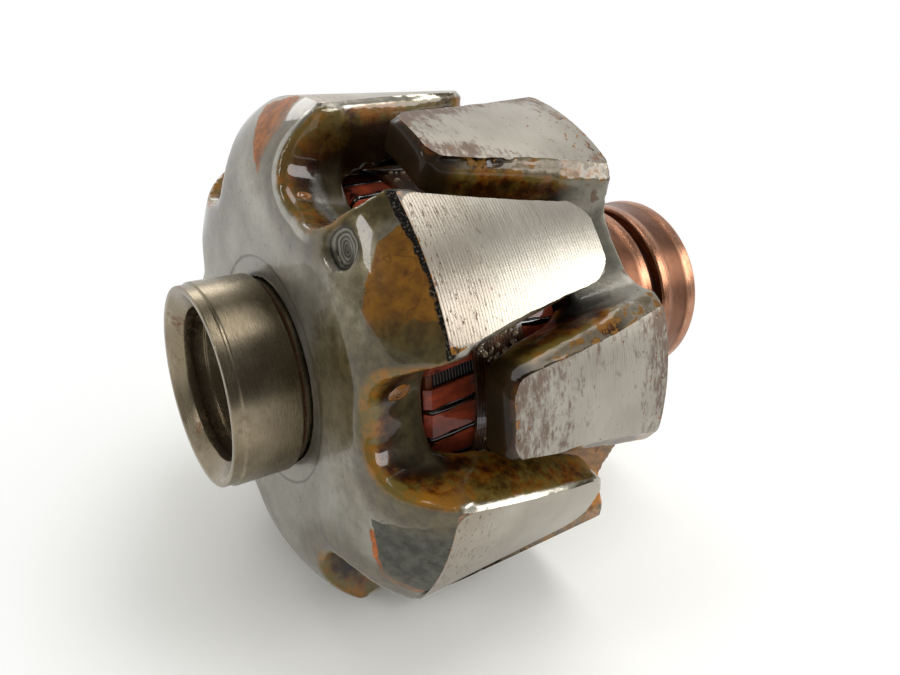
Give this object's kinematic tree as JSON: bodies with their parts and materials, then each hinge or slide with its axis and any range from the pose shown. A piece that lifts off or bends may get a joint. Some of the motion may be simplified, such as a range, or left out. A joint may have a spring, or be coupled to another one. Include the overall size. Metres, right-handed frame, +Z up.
{
  "type": "claw-pole alternator rotor",
  "caption": "Claw-pole alternator rotor: interleaved claw halves around a bound field coil, a bored collar at one end and copper slip rings at the other.",
  "frame": {"origin": "on the axle at the collar's end face", "axes": "+X along the axle from the collar's mouth to the slip rings, +Z up as the rotor lies on its side, -Y towards the picture's camera"},
  "size_m": [0.0844, 0.074, 0.074],
  "materials": {
    "turned_steel": "turned steel, stained and rusty in its grooves",
    "varnished_steel": "forged steel under a film of amber varnish, bright where the claws were turned",
    "claw_steel": "forged steel with turned faces, streaked with rust and chipped varnish",
    "core_iron": "plain turned iron",
    "bobbin_fibre": "brown pressed fibre",
    "enamelled_wire": "dark enamelled copper wire soaked in varnish",
    "wrap_fibre": "terracotta insulating paper, varnished",
    "varnished_tape": "brown tape under pooled varnish",
    "carrier_resin": "dark brown moulded resin",
    "ring_copper": "worn copper with a dark brush track"
  },
  "bodies": {
    "root": {"hub_sleeve": "turned_steel", "near_pole_half": "varnished_steel", "far_pole_half": "claw_steel", "pole_core": "core_iron", "coil_bobbin": "bobbin_fibre", "field_winding": "enamelled_wire", "near_wrap_flaps": "wrap_fibre", "far_wrap_flaps": "wrap_fibre", "binding_band": "varnished_tape", "slip_ring_carrier": "carrier_resin", "inner_slip_ring": "ring_copper", "outer_slip_ring": "ring_copper"}
  },
  "joints": []
}
